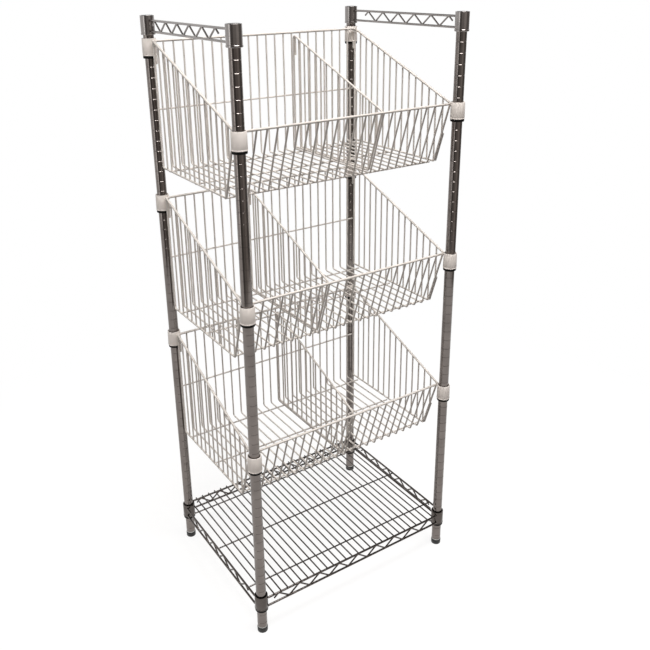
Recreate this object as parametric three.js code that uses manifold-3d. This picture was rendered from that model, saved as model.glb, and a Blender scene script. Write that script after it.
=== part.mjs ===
// Bakery bread rack: four plated posts carry three forward-sloping wire baskets, a flat wire
// shelf near the floor and two end rails. Split plastic sleeves wedge every collar on its post.
// Millimetres, +Z up, front towards -Y, origin on the floor under the middle of the rack.
import * as THREE from 'three';
import { mergeVertices } from 'three/addons/utils/BufferGeometryUtils.js';
import Module from 'manifold-3d';

const wasm = await Module();
wasm.setup();

// Posts, and the heights of the collar rims, with the baskets' steps counted in grooves of the posts
const POST_SPACING_X = 588;
const POST_SPACING_Y = 436;
const POST_DIAMETER = 25.4;
const POST_WALL = 1.5;
const GROOVE_PITCH = 25.4;
const SHELF_LEVEL = 114.8;
const FIRST_BASKET_LEVEL = 528.1;
const BASKET_STEP_GROOVES = 15;
const BASKET_SLOPE_GROOVES = 6;
const ROUND_SIDES = 12;
const CLEARANCE = 0.3;
const ON_EDGE = 1e-6;

// Levelling feet, their threaded inserts and the post caps
const FOOT_HEIGHT = 15;
const FOOT_DIAMETER = 27;
const FOOT_CHAMFER = 2;
const STEM_DIAMETER = 9.5;
const STEM_LENGTH = 40;
const INSERT_LENGTH = 24;
const INSERT_FLANGE = 2;
const CAP_FLANGE = 3;
const CAP_PLUG = 12;

// Sleeves, collars and the sockets of the end rails
const SLEEVE_WALL = 1.3;
const SLEEVE_DROP = 5;
const SLEEVE_RECESS = 1.5;
const SLEEVE_SLIT = 1;
const COLLAR_WALL = 2.2;
const COLLAR_TAPER = 0.6;
const COLLAR_HEIGHT = 40;
const SOCKET_HEIGHT = 44;
const SOCKET_LIFT = 8;
const SOCKET_WALL = 3.6;
const SOCKET_LIP = 0.6;
const SOCKET_LIP_HEIGHT = 4;

// Trusses of the end rails and of the shelf: two wires with a zigzag wire between them
const TRUSS_WIRE = 5.6;
const ZIGZAG_WIRE = 4.2;
const TRUSS_HEIGHT = 25;
const ZIGZAG_PERIOD = 62.3;
const ZIGZAG_BITE = 1;
const ZIGZAG_TAIL = 0.45;
const END_RAIL_DROP = 11;
const END_RAIL_SHIFT = 16.7;
const SHELF_TRUSS_DROP = 9;
const SHELF_TRUSS_OFFSET = 11.3;

// Shelf mat
const MAT_WIRE = 4;
const MAT_PITCH = 20.3;
const MAT_OVERHANG = 3;
const MAT_BITE = 0.4;
const MAT_CROSS_INSET = 28.3;

// Baskets: wire grille bent round back, floor and front, with side panels and a divider
const BASKET_DEPTH = 157;
const RAIL = 6;
const WIRE = 4.2;
const RIM_WIRE = 5;
const WIRE_PITCH = 25.4;
const BACK_RAIL_DROP = 5.5;
const FRONT_RAIL_DROP = 7.5;
const FRONT_LEAN = 50;
const REAR_BEND = 6;
const FRONT_BEND = 6;
const BEND_STEPS = 2;
const BACK_CROSS_DROP = 160;
const FLOOR_CROSS_REAR = 30;
const FLOOR_CROSS_FRONT = 17.6;
const WELD = 2.4;
const SIDE_PITCH = 25.4;
const SIDE_REAR_GAP = 1;
const SIDE_INSET = 1.9;
const DIVIDER_PLACES = { low: 13, middle: -62, top: 91 };
const DIVIDER_GAP = 1;
const DIVIDER_FRONT_GAP = 4;

// Heights and radii that follow from the driving sizes
const HALF_X = POST_SPACING_X / 2;
const HALF_Y = POST_SPACING_Y / 2;
const POST_RADIUS = POST_DIAMETER / 2;
const POST_BORE = POST_RADIUS - POST_WALL;
const INSERT_BOTTOM = FOOT_HEIGHT + CLEARANCE;
const POST_BOTTOM = INSERT_BOTTOM + INSERT_FLANGE + CLEARANCE;
const SLEEVE_INNER = POST_RADIUS + CLEARANCE;
const SLEEVE_TOP_RADIUS = SLEEVE_INNER + SLEEVE_WALL;
const COLLAR_INNER = SLEEVE_TOP_RADIUS + CLEARANCE;
const COLLAR_OUTER = COLLAR_INNER + COLLAR_WALL;
const SOCKET_INNER = POST_RADIUS + CLEARANCE;
const BACK_RISE = BASKET_SLOPE_GROOVES * GROOVE_PITCH;
const BASKET_NAMES = ['low', 'middle', 'top'];
const BASKET_STEP = BASKET_STEP_GROOVES * GROOVE_PITCH;
const BASKET_LEVELS = BASKET_NAMES.map((name, tier) => FIRST_BASKET_LEVEL + BASKET_STEP * tier);
const SOCKET_BOTTOM = BASKET_LEVELS.at(-1) + BACK_RISE + SOCKET_LIFT;
const SOCKET_TOP = SOCKET_BOTTOM + SOCKET_HEIGHT;
const POST_TOP = SOCKET_TOP - CAP_FLANGE - CLEARANCE;
const COLLAR_REACH = COLLAR_OUTER + COLLAR_TAPER + CLEARANCE;
const BACK_PLANE = HALF_Y - COLLAR_REACH - RAIL / 2;
const FRONT_PLANE = -BACK_PLANE;
const SIDE_PLANE = HALF_X - SIDE_INSET;

const CORNERS = [
  { name: 'rear_left', x: -HALF_X, y: HALF_Y },
  { name: 'front_left', x: -HALF_X, y: -HALF_Y },
  { name: 'rear_right', x: HALF_X, y: HALF_Y },
  { name: 'front_right', x: HALF_X, y: -HALF_Y },
];

const FINISHES = {
  chrome: { color: 0x8d8784, roughness: 0.18, metalness: 1 },
  coated: { color: 0xd2cbc3, roughness: 0.45, metalness: 0.1 },
  plastic: { color: 0x151414, roughness: 0.6, metalness: 0 },
  steel: { color: 0x8f8f8f, roughness: 0.4, metalness: 1 },
};

const AXIS_X = new THREE.Vector3(1, 0, 0);
const AXIS_Y = new THREE.Vector3(0, 1, 0);
const AXIS_Z = new THREE.Vector3(0, 0, 1);
const PLANE_YZ = new THREE.Matrix4().makeBasis(AXIS_Y, AXIS_Z, AXIS_X);
const PLANE_XZ = new THREE.Matrix4().makeBasis(AXIS_X, AXIS_Z, AXIS_Y.clone().negate());

const rack = new THREE.Group();

function addPiece(name, geometry, finish, x = 0, y = 0, z = 0) {
  const mesh = new THREE.Mesh(geometry, new THREE.MeshStandardMaterial(FINISHES[finish]));
  mesh.name = name;
  mesh.position.set(x, y, z);
  rack.add(mesh);
}

function toSolid(geometry) {
  const bare = geometry.clone();
  bare.deleteAttribute('normal');
  bare.deleteAttribute('uv');
  const merged = mergeVertices(bare);
  const vertProperties = new Float32Array(merged.attributes.position.array);
  const triVerts = new Uint32Array(merged.index.array);
  return new wasm.Manifold(new wasm.Mesh({ numProp: 3, vertProperties, triVerts }));
}

function toGeometry(solid) {
  const mesh = solid.getMesh();
  const geometry = new THREE.BufferGeometry();
  geometry.setAttribute('position', new THREE.BufferAttribute(mesh.vertProperties, mesh.numProp));
  geometry.setIndex(new THREE.BufferAttribute(mesh.triVerts, 1));
  return geometry;
}

function join(geometries) {
  return toGeometry(geometries.map(toSolid).reduce((whole, next) => whole.add(next)));
}

// A turned piece about Z from [radius, height] points listed up the outside and down the inside
function turned(points) {
  const closed = points.map(([radius, height]) => new THREE.Vector2(radius, height));
  if (points[0][0] > 0) closed.push(closed[0].clone());
  return new THREE.LatheGeometry(closed, ROUND_SIDES).rotateX(Math.PI / 2);
}

// A straight square bar along X, Y or Z between two places on that axis
function bar(axis, from, to, size, x, y, z) {
  const sizes = { x: size, y: size, z: size };
  sizes[axis] = to - from;
  const centre = { x, y, z };
  centre[axis] = (from + to) / 2;
  const box = new THREE.BoxGeometry(sizes.x, sizes.y, sizes.z);
  return box.translate(centre.x, centre.y, centre.z);
}

// The corners of a path replaced by arcs of a few straight steps
function roundedPath(points, radii) {
  const path = [points[0]];
  for (let i = 1; i < points.length - 1; i += 1) {
    const before = points[i - 1].clone().sub(points[i]).normalize();
    const after = points[i + 1].clone().sub(points[i]).normalize();
    const half = Math.acos(before.dot(after)) / 2;
    const middle = before.clone().add(after).normalize();
    const centre = points[i].clone().addScaledVector(middle, radii[i - 1] / Math.sin(half));
    const start = points[i].clone().addScaledVector(before, radii[i - 1] / Math.tan(half));
    const turn = (Math.PI - 2 * half) * Math.sign(before.cross(after));
    for (let step = 0; step <= BEND_STEPS; step += 1) {
      path.push(start.clone().rotateAround(centre, (-turn * step) / BEND_STEPS));
    }
  }
  path.push(points.at(-1));
  return path;
}

// A wire of square section along a flat path, mitred at each point, drawn in a given plane
function flatWire(path, size, plane, offset) {
  const sideways = path.map((point, i) => {
    const into = point.clone().sub(path[Math.max(i - 1, 0)]).normalize();
    const out = path[Math.min(i + 1, path.length - 1)].clone().sub(point).normalize();
    const along = into.clone().add(out).normalize();
    const straight = i === 0 ? out : into;
    const stretch = size / 2 / along.dot(straight);
    return new THREE.Vector2(-along.y, along.x).multiplyScalar(stretch);
  });
  const one = path.map((point, i) => point.clone().add(sideways[i]));
  const other = path.map((point, i) => point.clone().sub(sideways[i]));
  const outline = new THREE.Shape([...other, ...one.reverse()]);
  const wire = new THREE.ExtrudeGeometry(outline, { depth: size, bevelEnabled: false });
  return wire.translate(0, 0, offset - size / 2).applyMatrix4(plane);
}

// The part of a convex outline on the inner side of an edge, moved inwards by a margin
function clip(points, edge, margin) {
  const depth = (point) => {
    const distance = point.dot(edge.inward) - edge.place - margin;
    return Math.abs(distance) < ON_EDGE ? 0 : distance;
  };
  const kept = [];
  points.forEach((point, i) => {
    const next = points[(i + 1) % points.length];
    const here = depth(point);
    const there = depth(next);
    if (here >= 0) kept.push(point);
    if (here * there < 0) kept.push(point.clone().lerp(next, here / (here - there)));
  });
  return kept;
}

function edgeThrough(a, b) {
  const inward = new THREE.Vector2(a.y - b.y, b.x - a.x).normalize();
  return { inward, place: a.dot(inward) };
}

// A flat outline in the YZ plane given a thickness about the plane X = 0
function flatPlate(outline, thickness) {
  const plate = new THREE.ExtrudeGeometry(outline, { depth: thickness, bevelEnabled: false });
  return plate.translate(0, 0, -thickness / 2).applyMatrix4(PLANE_YZ);
}

// A flat wire panel in the YZ plane: a rim round a convex outline, and upright wires in the rim
function wirePanel(corners) {
  const edges = corners.map((corner, i) => edgeThrough(corner, corners[(i + 1) % corners.length]));
  const inset = (margin) => edges.reduce((outline, edge) => clip(outline, edge, margin), corners);
  const rim = new THREE.Shape(corners);
  rim.holes.push(new THREE.Path(inset(RIM_WIRE)));
  const rear = Math.max(...corners.map((corner) => corner.x));
  const front = Math.min(...corners.map((corner) => corner.x));
  const gaps = Math.round((rear - front) / SIDE_PITCH);
  const pieces = [flatPlate(rim, RIM_WIRE)];
  for (let i = 1; i < gaps; i += 1) {
    const middle = front + ((rear - front) * i) / gaps;
    const after = { inward: new THREE.Vector2(1, 0), place: middle - WIRE / 2 };
    const before = { inward: new THREE.Vector2(-1, 0), place: -middle - WIRE / 2 };
    const upright = clip(clip(inset(RIM_WIRE / 2), after, 0), before, 0);
    pieces.push(flatPlate(new THREE.Shape(upright), WIRE));
  }
  return join(pieces);
}

// Zigzag between two heights about a middle: as many tops as the reach takes, and a short tail at each end
function zigzagPath(reach, middle, low, high) {
  const tops = Math.floor((2 * reach) / ZIGZAG_PERIOD);
  const half = ZIGZAG_PERIOD / 2;
  const end = (tops - 1) * half;
  const upper = high - ZIGZAG_BITE;
  const lower = low + ZIGZAG_BITE;
  const tailHeight = upper - ZIGZAG_TAIL * (upper - lower);
  const path = [new THREE.Vector2(middle - end - ZIGZAG_TAIL * half, tailHeight)];
  for (let i = 0; i <= 2 * (tops - 1); i += 1) {
    path.push(new THREE.Vector2(middle - end + i * half, i % 2 === 0 ? upper : lower));
  }
  path.push(new THREE.Vector2(middle + end + ZIGZAG_TAIL * half, tailHeight));
  return path;
}

// Two wires and a zigzag along X or Y, in the upright plane at a given offset
function truss(axis, reach, offset, high, middle = 0) {
  const low = high - TRUSS_HEIGHT;
  const place = axis === 'x' ? [0, offset] : [offset, 0];
  const plane = axis === 'x' ? PLANE_XZ : PLANE_YZ;
  const zigzag = zigzagPath(reach, middle, low, high);
  return [
    bar(axis, -reach, reach, TRUSS_WIRE, ...place, high),
    bar(axis, -reach, reach, TRUSS_WIRE, ...place, low),
    flatWire(zigzag, ZIGZAG_WIRE, plane, axis === 'x' ? -offset : offset),
  ];
}

function post() {
  return turned([
    [POST_RADIUS, POST_BOTTOM],
    [POST_RADIUS, POST_TOP],
    [POST_BORE, POST_TOP],
    [POST_BORE, POST_BOTTOM],
  ]);
}

function postCap() {
  const plug = POST_BORE - CLEARANCE;
  return turned([
    [0, POST_TOP - CAP_PLUG],
    [plug, POST_TOP - CAP_PLUG],
    [plug, POST_TOP + CLEARANCE],
    [POST_RADIUS, POST_TOP + CLEARANCE],
    [POST_RADIUS, SOCKET_TOP],
    [0, SOCKET_TOP],
  ]);
}

function footInsert() {
  const bore = STEM_DIAMETER / 2 + CLEARANCE;
  const plug = POST_BORE - CLEARANCE;
  return turned([
    [POST_RADIUS, INSERT_BOTTOM],
    [POST_RADIUS, INSERT_BOTTOM + INSERT_FLANGE],
    [plug, INSERT_BOTTOM + INSERT_FLANGE],
    [plug, INSERT_BOTTOM + INSERT_LENGTH],
    [bore, INSERT_BOTTOM + INSERT_LENGTH],
    [bore, INSERT_BOTTOM],
  ]);
}

function foot() {
  const radius = FOOT_DIAMETER / 2;
  return turned([
    [0, 0],
    [radius - FOOT_CHAMFER, 0],
    [radius, FOOT_CHAMFER],
    [radius, FOOT_HEIGHT],
    [STEM_DIAMETER / 2, FOOT_HEIGHT],
    [STEM_DIAMETER / 2, FOOT_HEIGHT + STEM_LENGTH],
    [0, FOOT_HEIGHT + STEM_LENGTH],
  ]);
}

// A collar whose wall widens downwards, with its top rim at height zero
function collar(height) {
  return turned([
    [COLLAR_OUTER + COLLAR_TAPER, -height],
    [COLLAR_OUTER, 0],
    [COLLAR_INNER, 0],
    [COLLAR_INNER + COLLAR_TAPER, -height],
  ]);
}

// The wedge sleeve inside a collar, slit down one side so that it opens round the post
function sleeve(height) {
  const bottom = -height - SLEEVE_DROP;
  const ring = turned([
    [SLEEVE_TOP_RADIUS + COLLAR_TAPER, bottom],
    [SLEEVE_TOP_RADIUS + COLLAR_TAPER, -height],
    [SLEEVE_TOP_RADIUS, -SLEEVE_RECESS],
    [SLEEVE_INNER, -SLEEVE_RECESS],
    [SLEEVE_INNER, bottom],
  ]);
  const slit = new THREE.BoxGeometry(SLEEVE_SLIT, COLLAR_OUTER, height + 2 * SLEEVE_DROP);
  slit.translate(0, COLLAR_OUTER / 2, -height / 2);
  return toGeometry(toSolid(ring).subtract(toSolid(slit)));
}

function socket() {
  const outer = SOCKET_INNER + SOCKET_WALL;
  return turned([
    [outer + SOCKET_LIP, SOCKET_BOTTOM],
    [outer + SOCKET_LIP, SOCKET_BOTTOM + SOCKET_LIP_HEIGHT],
    [outer, SOCKET_BOTTOM + SOCKET_LIP_HEIGHT + SOCKET_LIP],
    [outer, SOCKET_TOP],
    [SOCKET_INNER, SOCKET_TOP],
    [SOCKET_INNER, SOCKET_BOTTOM],
  ]);
}

// Truss between two sockets, its zigzag nearer to the rear one
function endRail() {
  const reach = HALF_Y - SOCKET_INNER - SOCKET_WALL / 2;
  return join([
    socket().translate(0, HALF_Y, 0),
    socket().translate(0, -HALF_Y, 0),
    ...truss('y', reach, 0, SOCKET_TOP - END_RAIL_DROP, END_RAIL_SHIFT),
  ]);
}

// Collars joined by trusses that end in the collar walls, short of the bores
function shelfFrame() {
  const high = SHELF_LEVEL - SHELF_TRUSS_DROP;
  const bore = COLLAR_INNER + COLLAR_TAPER;
  const end = Math.sqrt(bore ** 2 - (SHELF_TRUSS_OFFSET - TRUSS_WIRE / 2) ** 2);
  const reachX = HALF_X - end;
  const reachY = HALF_Y - end;
  const offsetX = HALF_X + SHELF_TRUSS_OFFSET;
  const offsetY = HALF_Y + SHELF_TRUSS_OFFSET;
  const collars = CORNERS.map(({ x, y }) => collar(COLLAR_HEIGHT).translate(x, y, SHELF_LEVEL));
  return join([
    ...collars,
    ...truss('x', reachX, offsetY, high),
    ...truss('x', reachX, -offsetY, high),
    ...truss('y', reachY, offsetX, high),
    ...truss('y', reachY, -offsetX, high),
  ]);
}

// Front-to-back wires on the trusses, shortened beside the collars, and cross wires under them
function shelfMat() {
  const trussTop = SHELF_LEVEL - SHELF_TRUSS_DROP + TRUSS_WIRE / 2;
  const height = trussTop + CLEARANCE + MAT_WIRE / 2;
  const crossHeight = height - MAT_WIRE + MAT_BITE;
  const full = HALF_Y + SHELF_TRUSS_OFFSET + MAT_OVERHANG;
  const short = HALF_Y - COLLAR_REACH;
  const beside = HALF_X - COLLAR_REACH - MAT_WIRE / 2;
  const edge = HALF_X + SHELF_TRUSS_OFFSET - TRUSS_WIRE - MAT_WIRE;
  const count = Math.floor(edge / MAT_PITCH);
  const crossReach = HALF_X + SHELF_TRUSS_OFFSET - TRUSS_WIRE / 2 - CLEARANCE;
  const wires = [];
  for (let i = -count; i <= count; i += 1) {
    const x = i * MAT_PITCH;
    const reach = Math.abs(x) < beside ? full : short;
    wires.push(bar('y', -reach, reach, MAT_WIRE, x, 0, height));
  }
  const middle = bar('x', -crossReach, crossReach, MAT_WIRE, 0, 0, crossHeight);
  const outer = [MAT_CROSS_INSET - short, short - MAT_CROSS_INSET].flatMap((y) => {
    const low = height - MAT_WIRE - CLEARANCE;
    const welds = [-count, count].map((i) => {
      return new THREE.BoxGeometry(WELD, WELD, MAT_WIRE).translate(i * MAT_PITCH, y, (low + height) / 2);
    });
    return [bar('x', -crossReach, crossReach, MAT_WIRE, 0, y, low), ...welds];
  });
  return join([...wires, middle, ...outer]);
}

// Sizes of one basket whose front collars have their rims at a given level
function basketSizes(level) {
  const floor = level - BASKET_DEPTH;
  return {
    floor,
    back: level + BACK_RISE - BACK_RAIL_DROP,
    front: level - FRONT_RAIL_DROP,
    corner: FRONT_PLANE + FRONT_LEAN,
  };
}

// Wires bent round back, floor and front, closed by the two rails, with cross wires outside them
function basketGrille(level) {
  const { floor, back, front, corner } = basketSizes(level);
  const railReach = SIDE_PLANE - RAIL / 2 - CLEARANCE;
  const path = roundedPath(
    [
      new THREE.Vector2(BACK_PLANE, back),
      new THREE.Vector2(BACK_PLANE, floor),
      new THREE.Vector2(corner, floor),
      new THREE.Vector2(FRONT_PLANE, front),
    ],
    [REAR_BEND, FRONT_BEND],
  );
  const gaps = Math.round((2 * SIDE_PLANE) / WIRE_PITCH);
  const places = [];
  for (let i = 1; i < gaps; i += 1) places.push(SIDE_PLANE * ((2 * i) / gaps - 1));
  const wires = places.map((x) => flatWire(path, WIRE, PLANE_YZ, x));
  const rails = [
    bar('x', -railReach, railReach, RAIL, 0, BACK_PLANE, back),
    bar('x', -railReach, railReach, RAIL, 0, FRONT_PLANE, front),
  ];
  const crossReach = SIDE_PLANE - RIM_WIRE / 2 - CLEARANCE;
  const away = WIRE + CLEARANCE;
  const crossWire = (y, z, weldY, weldZ) => {
    const welds = [places[0], places.at(-1)].map((x) => {
      return new THREE.BoxGeometry(WELD, WELD, WELD).translate(x, y + weldY, z + weldZ);
    });
    return [bar('x', -crossReach, crossReach, WIRE, 0, y, z), ...welds];
  };
  const rear = BACK_PLANE - FLOOR_CROSS_REAR;
  const fore = corner + FLOOR_CROSS_FRONT;
  const underFloor = [rear, (rear + fore) / 2, fore].flatMap((y) => {
    return crossWire(y, floor - away, 0, away / 2);
  });
  const behind = crossWire(BACK_PLANE + away, back - BACK_CROSS_DROP, -away / 2, 0);
  return join([...wires, ...rails, ...underFloor, ...behind]);
}

// Side panel between two collars, hung from a sloping rail
function basketSide(level) {
  const { floor, back, front, corner } = basketSizes(level);
  const reach = HALF_Y - COLLAR_REACH;
  const slope = (back - front) / (BACK_PLANE - FRONT_PLANE);
  const railAt = (y) => front + slope * (y - FRONT_PLANE);
  const rear = reach - SIDE_REAR_GAP;
  const lean = (front - floor) / (corner - FRONT_PLANE);
  const top = new THREE.Vector2(-reach + WIRE, railAt(-reach + WIRE));
  const low = new THREE.Vector2(top.x + (top.y - floor) / lean, floor - WIRE / 2);
  const panel = wirePanel([
    new THREE.Vector2(rear - REAR_BEND, low.y),
    new THREE.Vector2(rear, low.y + REAR_BEND),
    new THREE.Vector2(rear, railAt(rear)),
    top,
    low,
  ]);
  const railEnd = reach - (slope * RAIL) / 2;
  const ends = [-railEnd, railEnd].map((y) => new THREE.Vector2(y, railAt(y)));
  return join([panel, flatWire(ends, RAIL, PLANE_YZ, 0)]);
}

// Divider standing on the floor wires, cut off at both bends, free to be lifted out
function basketDivider(level) {
  const { floor, back, front, corner } = basketSizes(level);
  const rear = BACK_PLANE - RAIL / 2 - DIVIDER_GAP;
  const bottom = floor + WIRE / 2 + CLEARANCE;
  const slope = (back - front) / (BACK_PLANE - FRONT_PLANE);
  const lean = (front - floor) / (corner - FRONT_PLANE);
  const frontTop = FRONT_PLANE + RAIL / 2 + DIVIDER_FRONT_GAP;
  const topAt = (y) => front + slope * (y - FRONT_PLANE);
  const frontLow = frontTop + (topAt(frontTop) - bottom) / lean;
  const cut = new THREE.Vector2(-1, lean).setLength(FRONT_BEND / 2);
  return wirePanel([
    new THREE.Vector2(rear - REAR_BEND, bottom),
    new THREE.Vector2(rear, bottom + REAR_BEND),
    new THREE.Vector2(rear, topAt(rear)),
    new THREE.Vector2(frontTop, topAt(frontTop)),
    new THREE.Vector2(frontLow + cut.x, bottom + cut.y),
    new THREE.Vector2(frontLow + cut.length(), bottom),
  ]);
}

function addBasket(name, level) {
  for (const { name: corner, x, y } of CORNERS) {
    const rim = y > 0 ? level + BACK_RISE : level;
    addPiece(`${name}_basket_collar_${corner}`, collar(COLLAR_HEIGHT), 'coated', x, y, rim);
    addPiece(`${name}_basket_sleeve_${corner}`, sleeve(COLLAR_HEIGHT), 'plastic', x, y, rim);
  }
  addPiece(`${name}_basket_grille`, basketGrille(level), 'coated');
  addPiece(`${name}_basket_side_left`, basketSide(level), 'coated', -SIDE_PLANE);
  addPiece(`${name}_basket_side_right`, basketSide(level), 'coated', SIDE_PLANE);
  addPiece(`${name}_basket_divider`, basketDivider(level), 'coated', DIVIDER_PLACES[name]);
}

for (const { name, x, y } of CORNERS) {
  addPiece(`post_${name}`, post(), 'chrome', x, y);
  addPiece(`post_cap_${name}`, postCap(), 'plastic', x, y);
  addPiece(`foot_insert_${name}`, footInsert(), 'steel', x, y);
  addPiece(`foot_${name}`, foot(), 'plastic', x, y);
  addPiece(`shelf_sleeve_${name}`, sleeve(COLLAR_HEIGHT), 'plastic', x, y, SHELF_LEVEL);
}
addPiece('shelf_frame', shelfFrame(), 'chrome');
addPiece('shelf_mat', shelfMat(), 'chrome');
BASKET_NAMES.forEach((name, tier) => addBasket(name, BASKET_LEVELS[tier]));
addPiece('end_rail_left', endRail(), 'chrome', -HALF_X);
addPiece('end_rail_right', endRail().rotateZ(Math.PI), 'chrome', HALF_X);

export default rack;
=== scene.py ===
"""Looks of the bakery bread rack: grooved plated posts, coated wire baskets, a plated wire shelf.

Every piece is a surface worked out with numpy, in metres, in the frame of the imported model.
"""
import math

import bpy
import numpy as np
from mathutils import Matrix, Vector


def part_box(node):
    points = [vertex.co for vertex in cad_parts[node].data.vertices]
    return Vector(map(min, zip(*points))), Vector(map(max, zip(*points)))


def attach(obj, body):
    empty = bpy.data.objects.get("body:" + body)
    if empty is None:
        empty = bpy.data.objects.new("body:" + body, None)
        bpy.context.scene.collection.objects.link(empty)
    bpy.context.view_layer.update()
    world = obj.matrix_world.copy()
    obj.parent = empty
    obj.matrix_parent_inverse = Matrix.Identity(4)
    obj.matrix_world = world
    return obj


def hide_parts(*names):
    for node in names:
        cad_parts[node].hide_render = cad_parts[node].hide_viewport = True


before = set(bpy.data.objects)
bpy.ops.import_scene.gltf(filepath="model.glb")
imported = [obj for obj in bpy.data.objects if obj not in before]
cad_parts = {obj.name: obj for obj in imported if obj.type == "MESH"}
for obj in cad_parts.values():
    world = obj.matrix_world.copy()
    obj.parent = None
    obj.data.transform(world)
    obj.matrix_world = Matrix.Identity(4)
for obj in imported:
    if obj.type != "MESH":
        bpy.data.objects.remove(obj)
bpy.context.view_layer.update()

CORNERS = ("rear_left", "front_left", "rear_right", "front_right")
BASKETS = ("low", "middle", "top")
X_AXIS, Y_AXIS, Z_AXIS = np.eye(3)

# Roundness of the meshes
TURN_SIDES = 48
WIRE_SIDES = 12
BEND_STEPS = 7
EDGE_STEPS = 5
LIP_STEPS = 7
FOOT_STEPS = 9
SOCKET_STEPS = 4
WIRE_END_SHARE = 0.55
SHARP_ANGLE = math.radians(38)

# Posts: rolled grooves that the sleeves seat in
GROOVE_PITCH = 0.0254
GROOVE_ABOVE_RIM = 0.0112
GROOVE_WIDTH = 0.0017
GROOVE_FLAT = 0.0007
GROOVE_DEPTH = 0.0004
POST_WALL = 0.0015
POST_EDGE = 0.0006

# Collars, sleeves, sockets, caps and feet
COLLAR_EDGE = 0.0005
COLLAR_LIP = 0.0006
COLLAR_LIP_HEIGHT = 0.0028
COLLAR_TAPER = 0.0006
COLLAR_WALL = 0.0022
SLEEVE_DROP = 0.005
SLEEVE_MORE = 0.001
SLEEVE_LIP = 0.0017
SLEEVE_WALL = 0.0013
SLEEVE_SLIT = 0.001
SLEEVE_EDGE = 0.0008
SOCKET_WALL = 0.0036
SOCKET_LIP = 0.0006
SOCKET_LIP_HEIGHT = 0.004
SOCKET_EDGE = 0.0008
CAP_EDGE = 0.0012
FOOT_HEIGHT = 0.015
FOOT_EDGE = 0.002
FOOT_STEM_RADIUS = 0.00475
THREAD_PITCH = 0.0015
THREAD_DEPTH = 0.0006

# Plated trusses of the shelf and of the end rails
TRUSS_WIRE = 0.0056
ZIGZAG_WIRE = 0.0042
TRUSS_HEIGHT = 0.025
ZIGZAG_PERIOD = 0.0623
ZIGZAG_BITE = 0.0006
ZIGZAG_BEND = 0.006
ZIGZAG_TAIL = 0.45
END_RAIL_DROP = 0.011
END_RAIL_SHIFT = 0.0167
SHELF_TRUSS_DROP = 0.009
SHELF_TRUSS_OFFSET = 0.0113
SHELF_TRUSS_END = 0.0126

# Shelf mat
MAT_WIRE = 0.004
MAT_PITCH = 0.0203
MAT_CROSS_INSET = 0.0283

# Baskets
BASKET_DEPTH = 0.157
RAIL = 0.006
WIRE = 0.0042
RIM_WIRE = 0.005
WIRE_PITCH = 0.0254
SIDE_PITCH = 0.0254
BACK_RAIL_DROP = 0.0055
FRONT_RAIL_DROP = 0.0075
FRONT_LEAN = 0.05
WIRE_BEND = 0.006
BACK_CROSS_DROP = 0.16
FLOOR_CROSS_REAR = 0.03
FLOOR_CROSS_FRONT = 0.0176
WELD_SINK = 0.0003
SIDE_INSET = 0.0019
SIDE_REAR_GAP = 0.001
RAIL_END_BEND = 0.007
RAIL_END_TURN = 0.010
REAR_TAIL_LENGTH = 0.023
REAR_TAIL_START = 0.030
FRONT_TAIL_LENGTH = 0.078
COLLAR_CLEARANCE = 0.0003
DIVIDER_GAP = 0.001
DIVIDER_FRONT_GAP = 0.004
DIVIDER_TAIL_LENGTH = 0.047

# The photograph's camera, with a smaller shift, because the other views keep it and would lose the top
IMAGE_WIDTH = 650
FOCAL_PIXELS = 776.3
PRINCIPAL_POINT = (313.0, 265.0)
CAMERA_PLACE = (-1.0065, -1.5915, 1.5851)
CAMERA_AZIMUTH = math.radians(-32.76)
CAMERA_ELEVATION = math.radians(20.74)
CAMERA_ROLL = math.radians(-0.89)
SENSOR_WIDTH = 36.0


def centre_of(node):
    """Middle of a CAD node's box."""
    low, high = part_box(node)
    return (np.array(low) + np.array(high)) / 2


def top_of(node):
    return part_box(node)[1].z


def radius_of(node):
    """Half the width of a CAD node's box."""
    low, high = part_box(node)
    return (high.x - low.x) / 2


def unit(vectors):
    return vectors / np.linalg.norm(vectors, axis=-1, keepdims=True)


def grid_quads(rows, columns, wrap_rows, wrap_columns):
    """Quads of a grid of points, (r, c), (r+1, c), (r+1, c+1), (r, c+1), closed where it wraps."""
    r = np.arange(rows if wrap_rows else rows - 1)[:, None]
    c = np.arange(columns if wrap_columns else columns - 1)[None, :]
    r_next, c_next = (r + 1) % rows, (c + 1) % columns
    corners = (r * columns + c, r_next * columns + c, r_next * columns + c_next, r * columns + c_next)
    return np.stack(corners, axis=-1).reshape(-1, 4)


def rounded(radius, height, size, turn):
    """Rounded edge of a profile: (r + s cos a, z + s sin a) over the angles a of the turn."""
    return np.column_stack([radius + size * np.cos(turn), height + size * np.sin(turn)])


def turned(profile, centre=(0, 0), closed=True, slit=0.0):
    """A profile (radius, height) turned about Z: (x + r cos a, y + r sin a, z) over the angles a.

    The profile runs up the outside. A closed one comes back down the inside, and an open one is
    capped top and bottom. A slit, in radians, leaves a gap facing +Y with capped sides.
    """
    profile = np.asarray(profile, float)
    count = len(profile)
    if slit:
        angles = math.pi / 2 + np.linspace(slit / 2, 2 * math.pi - slit / 2, TURN_SIDES)
    else:
        angles = np.linspace(0, 2 * math.pi, TURN_SIDES, endpoint=False)
    points = np.empty((len(angles), count, 3))
    points[..., 0] = centre[0] + np.cos(angles)[:, None] * profile[:, 0]
    points[..., 1] = centre[1] + np.sin(angles)[:, None] * profile[:, 0]
    points[..., 2] = profile[:, 1]
    quads = grid_quads(len(angles), count, not slit, closed)
    starts = np.arange(len(angles)) * count
    caps = []
    if slit:
        caps = [np.arange(count), (starts[-1] + np.arange(count))[::-1]]
    elif not closed:
        caps = [starts[::-1], starts + count - 1]
    return points.reshape(-1, 3), quads.tolist() + [cap.tolist() for cap in caps]


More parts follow.
